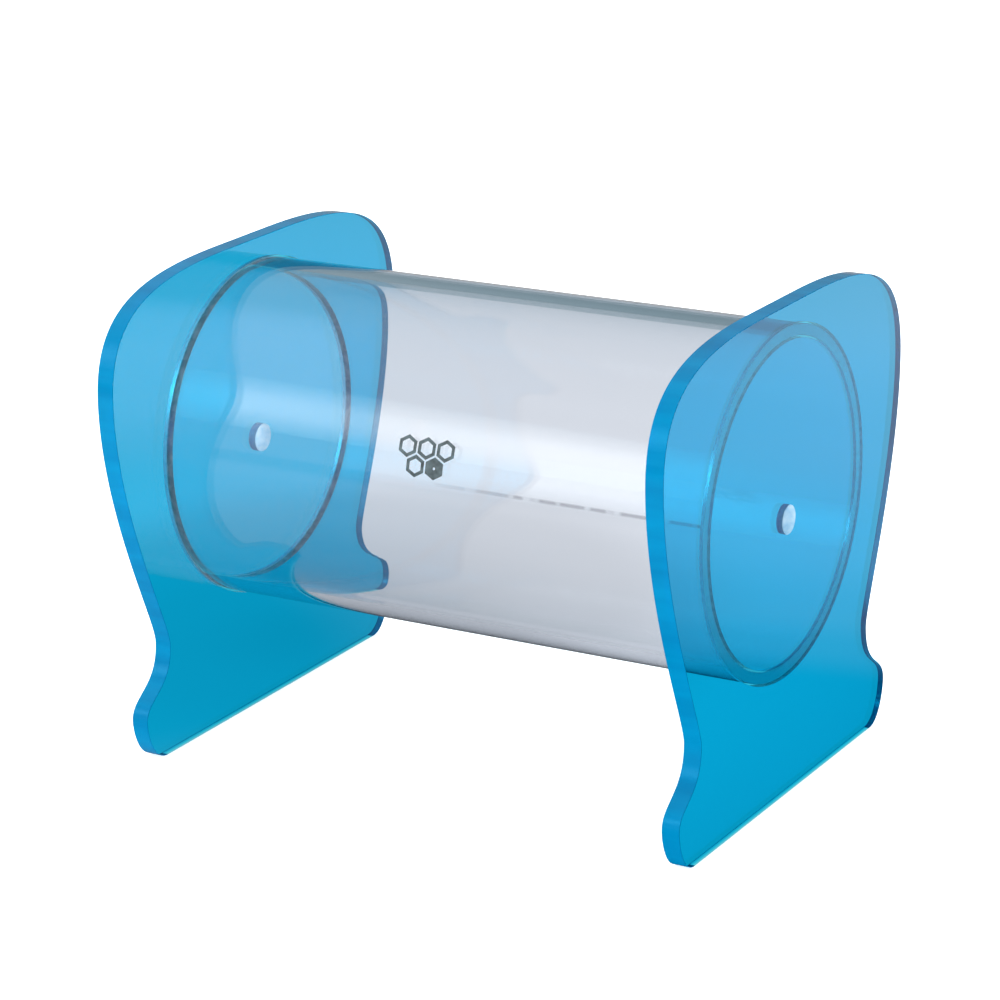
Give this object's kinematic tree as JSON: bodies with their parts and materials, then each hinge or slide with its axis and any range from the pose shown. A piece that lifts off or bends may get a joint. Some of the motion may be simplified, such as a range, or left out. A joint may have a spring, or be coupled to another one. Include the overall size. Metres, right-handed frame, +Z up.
{
  "type": "queen cage",
  "caption": "Clear round tube held between two blue sheet end plates that double as its feet; each plate pulls off the tube along its axis and has a small hole just below the middle.",
  "frame": {"origin": "on the floor under the middle of the tube: the centre of the bounding box's bottom face", "axes": "+X along the tube from the left end plate to the right one, +Z up from the feet, +Y across the plates"},
  "size_m": [0.1064, 0.0894, 0.0854],
  "materials": {
    "clear_acrylic": "polished",
    "blue_acrylic": "polished"
  },
  "bodies": {
    "tube": {"viewing_tube": "clear_acrylic"},
    "left_end": {"left_end_plate": "blue_acrylic"},
    "right_end": {"right_end_plate": "blue_acrylic"}
  },
  "joints": [
    {"name": "left_plate_pull", "type": "slide", "parent": "tube", "child": "left_end", "axis": [-1, 0, 0], "range_m": [0, 0.03]},
    {"name": "right_plate_pull", "type": "slide", "parent": "tube", "child": "right_end", "axis": [1, 0, 0], "range_m": [0, 0.03]}
  ]
}
